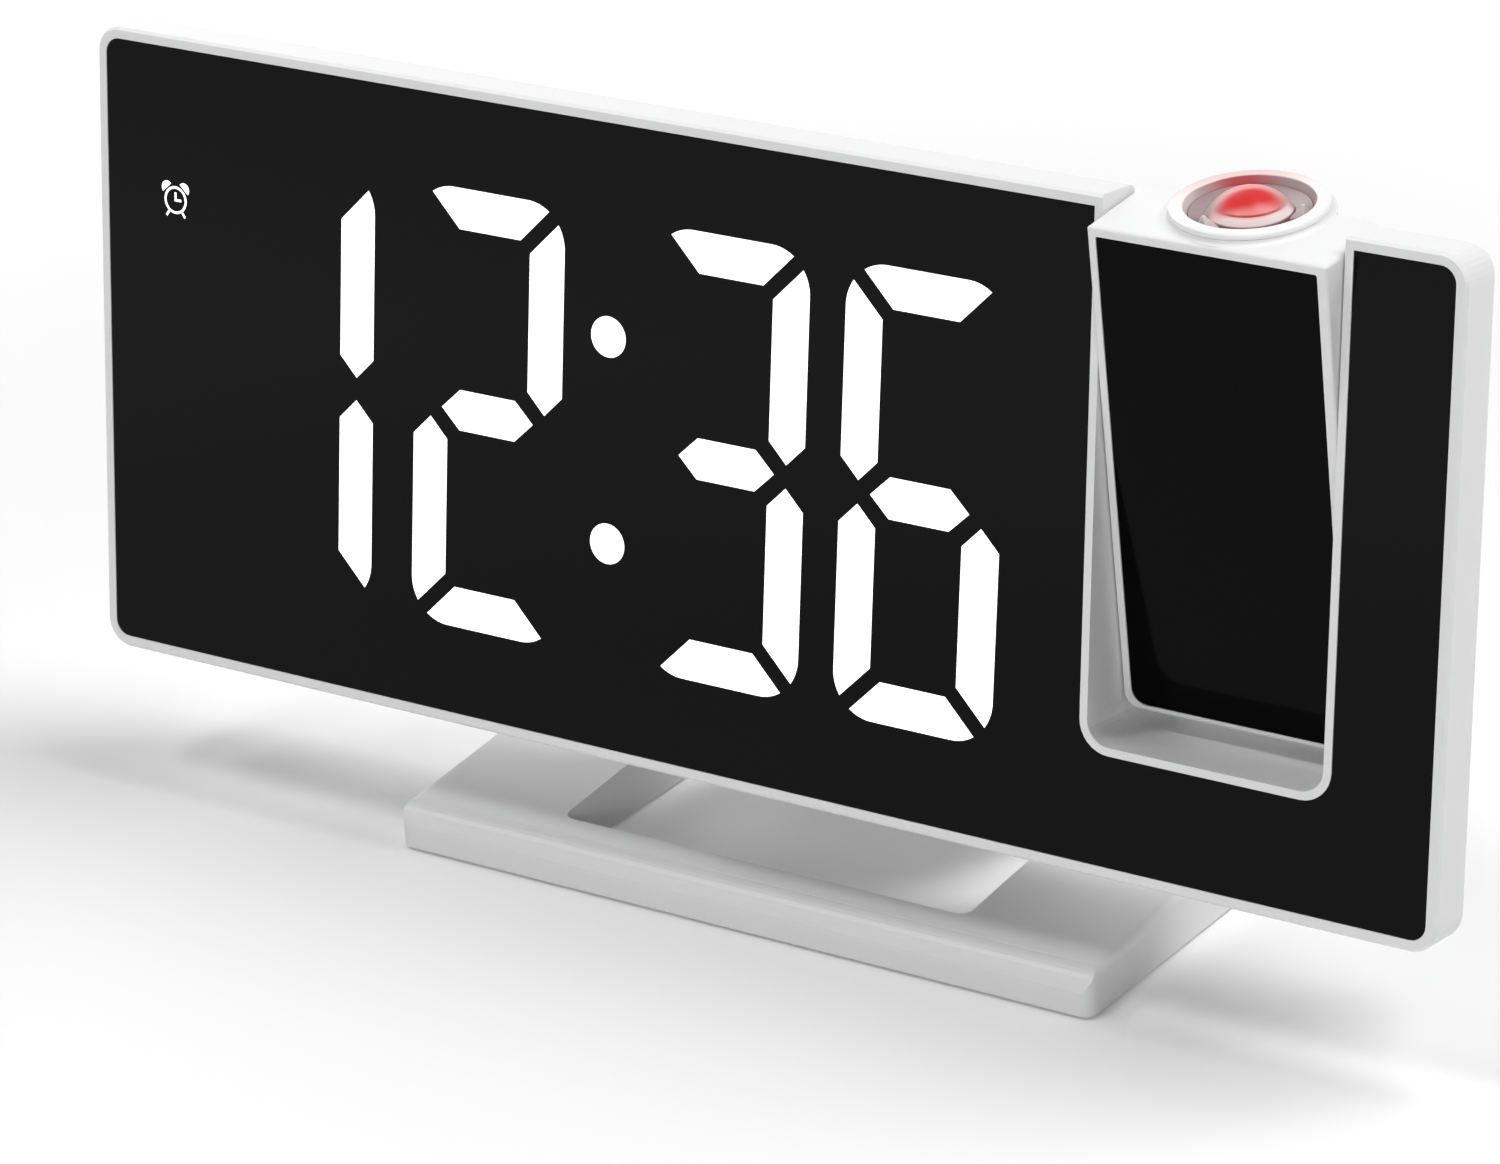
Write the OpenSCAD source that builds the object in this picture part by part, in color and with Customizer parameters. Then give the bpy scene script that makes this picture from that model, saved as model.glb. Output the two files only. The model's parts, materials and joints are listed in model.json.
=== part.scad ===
// Projection alarm clock: a leaning mirror display with a tilting projector in a slot at its right end.
// Z is up and the clock faces -Y. The origin is on the floor, under the middle of the whole clock.

/* [Panel] */
// Width of the front panel
panel_w = 190; // [185:1:205]
// Height of the front panel, measured along its lean
panel_h = 79.7; // [79.5:0.1:84]
// Depth of the thin panel edge
panel_d = 6.8; // [6.6:0.1:8]
// Angle by which the panel leans back
panel_lean = 7.7; // [4:0.1:12]
// Height of the panel's lower front edge above the floor
panel_z = 18.75; // [17:0.25:22]
// Corner radius of the panel
panel_r = 3.4; // [2.5:0.1:5]
// Width of the rim around the glass
bezel_w = 1.4; // [1.2:0.1:1.6]

/* [Projector slot] */
// Middle of the slot, to the right of the panel's middle
slot_x = 64.7; // [64.4:0.1:65]
// Clear width of the slot
slot_w = 30.6; // [30.6:0.1:30.9]
// Height of the slot's floor above the panel's lower edge
slot_floor = 15.8; // [15.5:0.1:16.2]
// Inner radius of the slot's lower corners
slot_r = 2.9; // [2.5:0.1:4]
// Width of the slot's rim
slot_rim = 1; // [0.9:0.05:1.1]

/* [Rear case] */
// Depth from the glass to the back of the case
case_d = 23; // [23:0.5:25]
// Top of the deep part of the case
case_top = 67; // [67:0.5:69]
// Wall thickness of the case
case_wall = 1.8; // [1.6:0.1:2]

/* [Display] */
// Figures shown, left to right
shown = [1, 2, 3, 6];
// Height of a figure
digit_h = 54.8; // [50:0.1:56]
// Width of a figure
digit_w = 21.9; // [20:0.1:22]
// Width of a lit segment
segment_w = 5.05; // [4:0.05:5.2]
// Gap between neighbouring segments
segment_gap = 2; // [1.5:0.1:2.4]
// Slant of the figures
slant = 1.1; // [0:0.1:3]

/* [Projector] */
// Width of the projector body
body_w = 30.2; // [30:0.1:30.2]
// Height of the projector body
body_h = 60.1; // [59:0.1:60.4]
// Depth of the projector body beside the lens tube
body_d = 12.7; // [12.6:0.1:13.4]
// Radius of the round back that holds the lens tube
bulge_r = 9.6; // [9.6:0.05:9.8]
// Forward tilt of the projector as shown
tilt = 11.2; // [0:0.1:20]
// Outer radius of the focus ring
ring_r = 9.05; // [9:0.05:9.2]
// Height of the focus ring above the projector body
ring_h = 1.25; // [1.1:0.05:1.6]

/* [Stand] */
// Width of the stand
stand_w = 100; // [96:0.5:104]
// Depth of the stand
stand_d = 54.5; // [54:0.5:58]
// Width of the window in the stand
window_w = 58.6; // [57:0.2:60]
// Width of the bar in front of the window
front_bar = 6.3; // [6:0.1:8]
// Thickness of the stand at its front edge
stand_h = 5.2; // [5:0.1:6]
// Rise of the stand's top towards the back
stand_rise = 4.4; // [3:0.1:5]
// Gap between the stand's skirt and the floor
foot_gap = 0.4; // [0.3:0.1:0.8]

/* [Hidden] */
$fn = 48;
eps = 0.01;
arc_steps = 8;              // facets in a quarter circle of an edge
big = 300;

glass_t = 1.5;
glass_set = 0.1;            // how far the glass sits behind the rim
glass_gap = 0.05;
glass_back = glass_set + glass_t;
ledge_t = 1.5;              // ledge that the glass is glued to
ledge_w = 2.6;
ledge_back = glass_back + ledge_t;
inlay_t = 0.3;              // depth of the lit segments in the glass

cover_t = 1.8;              // flat part of the rear cover, inside the panel's edge
cover_front = panel_d - cover_t;
cover_gap = 0.1;
case_x0 = -84;
case_x1 = 83.4;
case_bottom = 4.5;
case_back = case_d - case_wall;         // inner face of the case's back
case_r = 5;
case_edge = 2.5;
case_flare = 6;             // how much wider each side is at the panel than at the back

digit_right = [-52.55, -24.4, 10.3, 37.15];
digit_bottom = 12.45;
digit_mid = digit_h / 2;
digit_r = 5.5;
colon_x = -17.6;
colon_y = [27.1, 52.5];
colon_r = 2.5;
icon_at = [-83, 59.2];
mitre = segment_gap / 2 * sqrt(2);      // sideways share of the gap at a mitred end
LIT = ["abcdef", "bc", "abdeg", "abcdg", "bcfg", "acdfg", "acdefg", "abc", "abcdefg", "abcdfg"];

film_t = 0.25;
mask_front = glass_back + film_t;
mask_t = 1.9;
mask_back = mask_front + mask_t;
mask_x = [-80, 45.5];
mask_y = [6.5, 70.5];
led_board_t = 1;
led_size = [3.5, 2.8, 0.8];

board_t = 1.6;
board_back = case_back - 5;             // face that carries the switches
board_front = board_back - board_t;
board_x = [-80, 25];
board_y = [8, 61];
power_x = [27.6, 46.4];
power_y = [7, 60];
power_back = 13.2;
power_front = power_back - board_t;
boss_r = 2.3;
board_posts = [[-76, 12], [-76, 58.3], [21, 12], [21, 58.3]];
power_posts = [[31.5, 42], [42.5, 54]];

button_x = [-44, -28, -12, 4, 20];
button_v = 52;
button_size = [10, 5.5];
button_out = 1;
button_travel = 0.5;
button_flange = 0.8;
play = 0.15;                // gap round a button
switch_body = [6, 6, 2.5];
plunger_r = 1.7;
snooze_size = [64, 8.5];
snooze_at = [-12, 14.6];
snooze_out = 1.2;
snooze_travel = 0.6;

speaker_at = [-66, 42];
speaker_r = 12;
speaker_h = 4.4;
grille_hole = 0.9;
grille_pitch = 3.1;
grille_rings = 3;

bay_at = [-42, 22];
lid_r = 12.2;
lid_t = 1.5;
cell_r = 10;
cell_t = 3.2;
bay_wall = 1.5;
tab_r = 13.2;
tab_arc = 24;
tab_turn = 60;              // turn from locked to lifting off
bay_floor = case_d - lid_t - 0.2 - cell_t - 0.5;

usb_at = [37, 14.5];
usb_size = [13.1, 5.7];
dc_at = [37, 29];
dc_size = [9, 11];
dc_hole = 2.85;
dc_pin = 1;

case_screws_at = [[-88.6, 73.3], [-30, 73.6], [30, 73.6], [88.6, 73.3], [-88.8, 7], [88.6, 7]];
screw_r = 1;
screw_head = 2;
screw_head_h = 0.9;
screw_len = 5;

pivot = [slot_x, 7.7, 58.9];
pin_r = 2.5;
pin_play = 0.05;
pin_len = 2.4;
pin_flange = 3;
bush_r = 3.6;
bush_len = 2.4;
body_z0 = 18.75;
body_z1 = body_z0 + body_h;
body_x0 = slot_x - body_w / 2;
body_x1 = slot_x + body_w / 2;
skin = 1.5;
part_line = 6.5;            // joint between the projector's two shells
window_rim = [1.05, 0.8, 1.25, 1.15];      // left, bottom, right, top
window_r = [1.9, 1.9, 0.3, 0.3];
window_t = 0.8;
window_set = 0.12;
lens_w = 9.9;              // depth of the lens axis behind the front face
run_play = 0.08;            // running fit of the focus ring and the lens
collar_r = 7.7;
boss_h = 0.55;              // soft collar of the projector's top round the ring
boss_flare = 0.6;
cone_r = 7.35;
lens_bore = 6.95;
recess = 0.9;               // depth from the ring's top to the lens's mount
ring_low = 6;
tube_r = 7.7;
lens_r = 5;
lens_rise = 2.8;
lens_sit = 0.35;            // fall of the mount's face towards the lens
cell_len = 6.5;
clip_turn = [-21, 95];
clip_h = 1.3;
lcd_z = body_z1 - 33;
condenser_z = lcd_z - 9;
led_z = condenser_z - 9;

stand_y0 = -0.5;
stand_y1 = stand_y0 + stand_d;
y_mid = (stand_y0 + stand_y1) / 2;
window_y0 = stand_y0 + front_bar;
window_y1 = 36.5;
opening_r = 1.6;
stand_r = 1.5;
stand_edge = 1;
stand_nose = 3;              // round along the top of the front edge
stand_wall = 2.2;
plate_t = 1.4;
plate_z = foot_gap + 0.5;
neck_w = 44;
neck_t = 4;
neck_top = 34;
neck_wall = 2.4;
neck_screws = [[-13, 14], [13, 14], [-13, 28], [13, 28]];
pads_at = [[-43, 5], [43, 5], [-43, 48.5], [43, 48.5]];
pad_r = 3;

WHITE = [0.93, 0.93, 0.93];
GLASS = [0.03, 0.03, 0.035];
LIT_WHITE = [1, 1, 1];
BOARD = [0.05, 0.3, 0.16];
DARK = [0.1, 0.1, 0.11];
STEEL = [0.7, 0.7, 0.72];
RUBBER = [0.3, 0.3, 0.31];
CLEAR = [0.95, 0.75, 0.75];

// ---------------------------------------------------------------- frames and shapes

// The panel's own frame: x along it, y behind the glass, z up along it from its lower edge.
module leaning() {
    translate([0, -y_mid, panel_z])
        rotate([-panel_lean, 0, 0])
            children();
}

// The projector's own frame, upright in the panel's frame when it is closed.
module tilted() {
    leaning()
        translate(pivot)
            rotate([tilt, 0, 0])
                translate(-pivot)
                    children();
}

// The stand's frame: y from the panel's lower edge.
module on_floor() {
    translate([0, -y_mid, 0])
        children();
}

// A flat shape in x and z, from depth y0 to y1.
module slab(y0, y1) {
    translate([0, y1, 0])
        rotate([90, 0, 0])
            linear_extrude(y1 - y0)
                children();
}

// A shape in y and z, from x0 to x1.
module across(x0, x1) {
    translate([x0, 0, 0])
        rotate([90, 0, 90])
            linear_extrude(x1 - x0)
                children();
}

// A shape in x and y, from z0 to z1.
module upward(z0, z1) {
    translate([0, 0, z0])
        linear_extrude(z1 - z0)
            children();
}

// A round bar along y, from y0 to y1, at a point given in x and z.
module rod(at, r, y0, y1) {
    translate([at[0], y1, at[1]])
        rotate([90, 0, 0])
            cylinder(r = r, h = y1 - y0);
}

function corner(x, y, r, a) =
    r <= 0 ? [[x, y]] : [for (i = [0 : arc_steps]) [x, y] + r * [cos(a + 90 * i / arc_steps), sin(a + 90 * i / arc_steps)]];

// A rectangle from (x0, y0) to (x1, y1) with its own radius at each corner, counted from the lower left.
module soft_rect(x0, y0, x1, y1, r) {
    polygon(concat(
        corner(x0 + r[0], y0 + r[0], r[0], 180),
        corner(x1 - r[1], y0 + r[1], r[1], 270),
        corner(x1 - r[2], y1 - r[2], r[2], 0),
        corner(x0 + r[3], y1 - r[3], r[3], 90)
    ));
}

module soft_square(size, r) {
    soft_rect(-size[0] / 2, -size[1] / 2, size[0] / 2, size[1] / 2, [r, r, r, r]);
}

module panel_shape(inset) {
    r = max(panel_r - inset, 0.8);
    soft_rect(inset - panel_w / 2, inset, panel_w / 2 - inset, panel_h - inset, [r, r, r, r]);
}

// The slot as seen from the front, widened by grow. It runs out over the panel's top edge.
module slot_shape(grow) {
    half = slot_w / 2 + grow;
    r = slot_r + grow;
    soft_rect(slot_x - half, slot_floor - grow, slot_x + half, panel_h + 20, [r, r, 0, 0]);
}

// A screw along y with its head's outer face at y1.
module screw(at, r, len, head_r, head_h, y1) {
    difference() {
        union() {
            rod(at, r, y1 - len, y1 - head_h / 2);
            rod(at, head_r, y1 - head_h, y1);
        }
        for (a = [0, 90])
            translate([at[0], y1, at[1]])
                rotate([0, a, 0])
                    cube([head_r * 1.2, head_h, head_r * 0.3], center = true);
    }
}

// ---------------------------------------------------------------- display

function slanted(points) = [for (p = points) [p[0] + (p[1] - digit_mid) * tan(slant), p[1]]];

// Angle that the rounded outer corner spans on one segment, up to its mitred end.
corner_drop = ((2 * digit_r - mitre) - sqrt(pow(2 * digit_r - mitre, 2) - 2 * pow(digit_r - mitre, 2))) / 2;
corner_span = 90 - acos((digit_r - corner_drop - mitre) / digit_r);

function corner_part(x, y, a0, a1) =
    [for (i = [0 : arc_steps]) let (a = a0 + (a1 - a0) * i / arc_steps) [x, y] + digit_r * [cos(a), sin(a)]];

function top_bar() = concat(
    [[segment_w + mitre, digit_h - segment_w], [digit_w - segment_w - mitre, digit_h - segment_w]],
    corner_part(digit_w - digit_r, digit_h - digit_r, 90 - corner_span, 90),
    corner_part(digit_r, digit_h - digit_r, 90, 90 + corner_span)
);

function upper_side() = concat(
    [
        [0, digit_mid + mitre + segment_w / 2],
        [segment_w / 2, digit_mid + mitre],
        [segment_w, digit_mid + mitre + segment_w / 2],
        [segment_w, digit_h - segment_w - mitre]
    ],
    corner_part(digit_r, digit_h - digit_r, 180 - corner_span, 180)
);

function middle_bar() = let (tip = segment_w / 2 + mitre + 0.25, shoulder = segment_w + mitre + 0.4) [
    [tip, digit_mid],
    [shoulder, digit_mid - segment_w / 2],
    [digit_w - shoulder, digit_mid - segment_w / 2],
    [digit_w - tip, digit_mid],
    [digit_w - shoulder, digit_mid + segment_w / 2],
    [shoulder, digit_mid + segment_w / 2]
];

function flip_x(points) = [for (p = points) [digit_w - p[0], p[1]]];
function flip_y(points) = [for (p = points) [p[0], digit_h - p[1]]];

SEGMENTS = [
    ["a", top_bar()],
    ["b", flip_x(upper_side())],
    ["c", flip_y(flip_x(upper_side()))],
    ["d", flip_y(top_bar())],
    ["e", flip_y(upper_side())],
    ["f", upper_side()],
    ["g", middle_bar()]
];

// The segments named in lit, of one figure.
module figure(place, lit) {
    translate([digit_right[place] - digit_w, digit_bottom])
        for (s = SEGMENTS)
            if (len(search(s[0], lit)) > 0)
                polygon(slanted(s[1]));
}

module colon_dots(grow) {
    for (y = colon_y)
        translate([colon_x, y])
            circle(colon_r + grow);
}

module lit_figures() {
    for (i = [0 : 3])
        figure(i, LIT[shown[i]]);
    colon_dots(0);
}

// Alarm clock sign: a dial with two hands, two bells and two feet.
module alarm_sign() {
    dial_r = 1.75;
    line = 0.32;
    translate(icon_at) {
        difference() {
            circle(dial_r);
            circle(dial_r - line);
        }
        translate([-line / 2, -line / 2])
            square([line, dial_r * 0.65]);
        translate([-line / 2, -line / 2])
            square([dial_r * 0.6, line]);
        for (side = [-1, 1]) {
            rotate(side * 42)
                translate([0, dial_r + 0.2])
                    intersection() {
                        circle(0.85);
                        translate([-1, 0])
                            square([2, 1]);
                    }
            rotate(180 + side * 35)
                translate([-line / 2, dial_r + 0.05])
                    square([line, 0.75]);
        }
    }
}

module display_mirror() {
    color(GLASS)
        leaning()
            difference() {
                slab(glass_set, glass_back)
                    difference() {
                        panel_shape(bezel_w + glass_gap);
                        slot_shape(slot_rim + glass_gap);
                    }
                slab(glass_set - 1, glass_set + inlay_t) {
                    lit_figures();
                    alarm_sign();
                }
            }
}

module display_digits() {
    color(LIT_WHITE)
        leaning()
            slab(glass_set, glass_set + inlay_t)
                lit_figures();
}

module alarm_indicator() {
    color(LIT_WHITE)
        leaning()
            slab(glass_set, glass_set + inlay_t)
                alarm_sign();
}

module diffuser_film() {
    color("white")
        leaning()
            slab(glass_back, mask_front)
                soft_rect(mask_x[0], mask_y[0], mask_x[1], mask_y[1], [2, 2, 2, 2]);
}

module segment_mask() {
    color(DARK)
        leaning()
            slab(mask_front, mask_back)
                difference() {
                    soft_rect(mask_x[0], mask_y[0], mask_x[1], mask_y[1], [2, 2, 2, 2]);
                    for (i = [0 : 3])
                        figure(i, LIT[8]);
                    colon_dots(0.3);
                }
}

module led_board() {
    color(BOARD)
        leaning()
            slab(mask_back, mask_back + led_board_t)
                soft_rect(mask_x[0] + 1.5, mask_y[0] + 1.5, mask_x[1] - 1.5, mask_y[1] - 1.5, [1, 1, 1, 1]);
}

function middle(points) = [for (k = [0, 1]) (min([for (p = points) p[k]]) + max([for (p = points) p[k]])) / 2];

module segment_leds() {
    color("ivory")
        leaning() {
            for (i = [0 : 3], s = SEGMENTS) {
                at = [digit_right[i] - digit_w, digit_bottom] + middle(slanted(s[1]));
                translate([at[0], mask_back - led_size[2] / 2, at[1]])
                    cube([led_size[0], led_size[2], led_size[1]], center = true);
            }
            for (y = colon_y)
                translate([colon_x, mask_back - led_size[2] / 2, y])
                    cube([led_size[0], led_size[2], led_size[1]], center = true);
        }
}

// ---------------------------------------------------------------- case

// The whole panel block with its edges eased, as one solid.
module panel_block() {
    hull() {
        slab(0, 1)
            panel_shape(0.35);
        slab(0.35, panel_d - 0.9)
            panel_shape(0);
        slab(1, panel_d - 0.35)
            panel_shape(0.2);
        slab(1, panel_d - 0.08)
            panel_shape(0.5);
        slab(1, panel_d)
            panel_shape(0.85);
    }
}

module front_frame() {
    color(WHITE)
        leaning()
            difference() {
                intersection() {
                    panel_block();
                    union() {
                        slab(0, panel_d) {
                            difference() {
                                panel_shape(0);
                                panel_shape(bezel_w);
                            }
                            slot_shape(slot_rim);
                        }
                        slab(glass_back, ledge_back)
                            difference() {
                                panel_shape(0);
                                difference() {
                                    panel_shape(bezel_w + ledge_w);
                                    slot_shape(slot_rim + ledge_w);
                                }
                            }
                        for (at = case_screws_at)
                            rod(at, 2.6, glass_back + 0.4, cover_front);
                    }
                }
                slab(-1, panel_d + 1)
                    slot_shape(0);
                for (at = case_screws_at)
                    rod(at, screw_r + 0.05, glass_back + 0.8, cover_front + 1);
                translate([slot_x, pivot[1], pivot[2]])
                    rotate([0, 90, 0])
                        cylinder(r = bush_r, h = slot_w + 2 * bush_len, center = true);
            }
}

// The deep part of the case, drawn in by inset on every side. Its sides slant in towards the back.
module case_block(inset, y0) {
    edge = max(case_edge - inset, 0.6);
    steps = 5;
    hull() {
        case_slice(inset, y0, case_flare * (case_d - y0) / (case_d - panel_d));
        for (i = [0 : steps])
            case_slice(inset + edge * (1 - cos(90 * i / steps)), case_d - inset - edge * (1 - sin(90 * i / steps)),
                case_flare * edge * (1 - sin(90 * i / steps)) / (case_d - panel_d));
    }
}

module case_slice(inset, y, flare) {
    r = max(case_r - inset, 1.5);
    slab(y - eps, y)
        soft_rect(case_x0 - flare + inset, case_bottom + inset, case_x1 + flare - inset, case_top - inset, [r, r, r, r]);
}

module grille_holes() {
    rod(speaker_at, grille_hole, case_back - 1, case_d + 1);
    for (ring = [1 : grille_rings], k = [0 : 6 * ring - 1])
        rod(speaker_at + ring * grille_pitch * [cos(60 * k / ring), sin(60 * k / ring)],
            grille_hole, case_back - 1, case_d + 1);
}

module bay_cut() {
    rod(bay_at, lid_r + play, case_back - eps, case_d + 1);
    rod(bay_at, tab_r + play, case_back - 0.8, case_back);
    rod(bay_at, cell_r + 0.3, bay_floor, case_d);
    for (a = [0, 180])
        translate([bay_at[0], case_back - 0.8, bay_at[1]])
            rotate([0, a, 0])
                intersection() {
                    rotate([-90, 0, 0])
                        cylinder(r = tab_r + play, h = case_wall + 2);
                    translate([0, 0, -3])
                        cube([20, 10, 6]);
                }
}

module rear_cover() {
    slot_wall = 2.3;
    color(WHITE)
        leaning()
            difference() {
                union() {
                    difference() {
                        union() {
                            slab(cover_front, panel_d)
                                panel_shape(bezel_w + cover_gap);
                            case_block(0, cover_front);
                        }
                        difference() {
                            case_block(case_wall, cover_front - 1);
                            slab(0, case_d)
                                slot_shape(slot_wall);
                        }
                    }
                    rod(bay_at, tab_r + bay_wall, bay_floor - 1.2, case_back + eps);
                    for (at = board_posts)
                        rod(at, boss_r, board_back, case_back + eps);
                    for (at = neck_screws)
                        rod(at, 3, board_back, case_back + eps);
                    for (at = power_posts)
                        rod(at, boss_r, power_back, case_back + eps);
                }
                slab(cover_front - 1, case_d + 1)
                    slot_shape(0);
                slab(cover_front - 1, panel_d)
                    slot_shape(slot_rim + cover_gap);
                translate([slot_x, pivot[1], pivot[2]])
                    rotate([0, 90, 0])
                        cylinder(r = bush_r, h = slot_w + 2 * bush_len, center = true);
                for (at = case_screws_at) {
                    rod(at, screw_r + 0.2, cover_front - 1, panel_d + 1);
                    rod(at, screw_head + 0.2, panel_d - screw_head_h, panel_d + 1);
                }
                for (x = button_x)
                    translate([x, 0, button_v])
                        slab(case_back - 1, case_d + 1)
                            soft_square(button_size + 2 * [play, play], 2 + play);
                translate([snooze_at[0], snooze_at[1], 0])
                    upward(case_top - case_wall - 1, case_top + 1)
                        soft_square(snooze_size + 2 * [play, play], 2.5 + play);
                translate([usb_at[0], 0, usb_at[1]])
                    slab(case_back - 1, case_d + 1)
                        soft_square(usb_size + [0.3, 0.3], 0.4);
                rod(dc_at, dc_hole + 1, case_back - 1, case_d + 1);
                grille_holes();
                bay_cut();
                for (at = neck_screws)
                    rod(at, 1.55, board_back + 1, case_d + 1);
                for (at = board_posts)
                    rod(at, screw_r + 0.05, board_back - 1, case_back - 1);
                for (at = power_posts)
                    rod(at, screw_r + 0.05, power_back - 1, power_back + 5);
            }
}

module case_screws() {
    color(STEEL)
        leaning()
            for (at = case_screws_at)
                screw(at, screw_r, 4, screw_head, screw_head_h, panel_d);
}

module pivot_bushes() {
    color(STEEL)
        leaning()
            for (side = [-1, 1])
                translate([slot_x + side * (slot_w + bush_len) / 2, pivot[1], pivot[2]])
                    rotate([0, 90, 0])
                        difference() {
                            cylinder(r = bush_r, h = bush_len, center = true);
                            cylinder(r = pin_r + pin_play, h = bush_len + 1, center = true);
                        }
}

// ---------------------------------------------------------------- electronics

module main_board() {
    color(BOARD)
        leaning()
            difference() {
                slab(board_front, board_back)
                    soft_rect(board_x[0], board_y[0], board_x[1], board_y[1], [1, 1, 1, 1]);
                for (at = board_posts)
                    rod(at, screw_r + 0.2, board_front - 1, board_back + 1);
            }
}

// Screws that hold a board from the front of the case.
module board_screw(at, y) {
    translate([0, 2 * y, 0])
        mirror([0, 1, 0])
            screw(at, screw_r, screw_len, screw_head, screw_head_h, y + screw_head_h);
}

module board_screws() {
    color(STEEL)
        leaning()
            for (at = board_posts)
                board_screw(at, board_front);
}

module power_board_screws() {
    color(STEEL)
        leaning()
            for (at = power_posts)
                board_screw(at, power_front);
}

module board_chips() {
    color(DARK)
        leaning() {
            for (c = [[-50, 40, 12, 12], [-10, 36, 9, 7], [8, 30, 7, 5], [-66, 16, 6, 4], [-4, 14, 5, 8]])
                translate([c[0] - c[2] / 2, board_front - 1.4, c[1] - c[3] / 2])
                    cube([c[2], 1.4, c[3]]);
        }
}

module button_switches() {
    color(DARK)
        leaning()
            for (x = button_x) {
                translate([x - switch_body[0] / 2, board_back, button_v - switch_body[1] / 2])
                    cube([switch_body[0], switch_body[2], switch_body[1]]);
                rod([x, button_v], plunger_r, board_back + switch_body[2] - eps, case_back - button_flange - button_travel - 0.2);
            }
}

module snooze_switch() {
    color(DARK)
        leaning()
            translate([snooze_at[0], board_back, board_y[1] - 4.5]) {
                translate([-switch_body[0] / 2, 0, 0])
                    cube([switch_body[0], 3.6, 4.5]);
                translate([0, 1.8, 4.5 - eps])
                    cylinder(r = 1.4, h = case_top - case_wall - button_flange - snooze_travel - 0.2 - board_y[1]);
            }
}

module power_board() {
    color(BOARD)
        leaning()
            difference() {
                slab(power_front, power_back)
                    soft_rect(power_x[0], power_y[0], power_x[1], power_y[1], [1, 1, 1, 1]);
                for (at = power_posts)
                    rod(at, screw_r + 0.2, power_front - 1, power_back + 1);
            }
}

module usb_socket() {
    color(STEEL)
        leaning()
            translate([usb_at[0], 0, usb_at[1]]) {
                difference() {
                    slab(power_back, case_d)
                        soft_square(usb_size, 0.4);
                    slab(power_back + 0.6, case_d + 1)
                        soft_square(usb_size - [0.8, 0.8], 0.3);
                }
                translate([-5.6, power_back + 0.5, 0.1])
                    cube([11.2, case_d - power_back - 1.1, 1.8]);
            }
}

module power_socket() {
    color(DARK)
        leaning() {
            difference() {
                union() {
                    translate([dc_at[0], 0, dc_at[1]])
                        slab(power_back, case_back)
                            soft_square(dc_size, 0.6);
                    rod(dc_at, dc_hole + 0.9, case_back - eps, case_d - 0.2);
                }
                rod(dc_at, dc_hole, power_back + 1, case_d);
            }
            rod(dc_at, dc_pin, power_back + 1 - eps, case_d - 1);
        }
}

module speaker() {
    color(DARK)
        leaning()
            difference() {
                union() {
                    rod(speaker_at, speaker_r, case_back - 1.6, case_back);
                    rod(speaker_at, speaker_r - 4, case_back - speaker_h, case_back - 1.6 + eps);
                }
                rod(speaker_at, speaker_r - 1, case_back - 0.8, case_back + 1);
            }
}

module battery_contact() {
    color(STEEL)
        leaning()
            rod(bay_at, 8, bay_floor, bay_floor + 0.3);
}

module coin_cell() {
    color(STEEL)
        leaning() {
            rod(bay_at, cell_r - 0.8, bay_floor + 0.3, bay_floor + 0.6);
            rod(bay_at, cell_r, bay_floor + 0.6 - eps, bay_floor + 0.3 + cell_t);
        }
}

// Quarter-turn lid with a coin slot and two tabs that lie under the case's wall.
module battery_lid() {
    color(WHITE)
        leaning()
            difference() {
                union() {
                    rod(bay_at, lid_r, case_d - lid_t, case_d);
                    rod(bay_at, lid_r - 0.1, case_back - 0.7, case_d - lid_t + eps);
                    for (a = [-tab_turn, 180 - tab_turn])
                        translate([bay_at[0], case_back - 0.7, bay_at[1]])
                            rotate([0, a, 0])
                                intersection() {
                                    rotate([-90, 0, 0])
                                        cylinder(r = tab_r, h = 0.6);
                                    translate([lid_r - 2, 0, -tab_r * sin(tab_arc / 2)])
                                        cube([5, 1, 2 * tab_r * sin(tab_arc / 2)]);
                                }
                }
                rod(bay_at, cell_r + 0.5, case_back - 1, case_d - lid_t);
                translate([bay_at[0], case_d, bay_at[1]])
                    cube([13, 1.4, 1.7], center = true);
            }
}

// ---------------------------------------------------------------- buttons

module button(i) {
    color(WHITE)
        leaning()
            translate([button_x[i], 0, button_v]) {
                slab(case_back - button_flange, case_d + button_out - 0.4)
                    soft_square(button_size, 2);
                slab(case_d + button_out - 0.4 - eps, case_d + button_out)
                    soft_square(button_size - [0.8, 0.8], 1.6);
                slab(case_back - button_flange, case_back - 0.05)
                    soft_square(button_size + [2, 2], 2.6);
            }
}

module set_button() button(0);
module up_button() button(1);
module down_button() button(2);
module alarm_button() button(3);
module projector_button() button(4);

module snooze_button() {
    inner = case_top - case_wall;
    color(WHITE)
        leaning()
            translate([snooze_at[0], snooze_at[1], 0]) {
                upward(inner - button_flange, case_top + snooze_out - 0.4)
                    soft_square(snooze_size, 2.5);
                upward(case_top + snooze_out - 0.4 - eps, case_top + snooze_out)
                    soft_square(snooze_size - [0.8, 0.8], 2.1);
                upward(inner - button_flange, inner - 0.05)
                    soft_square(snooze_size + [2, 2], 3);
            }
}

// ---------------------------------------------------------------- projector

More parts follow.
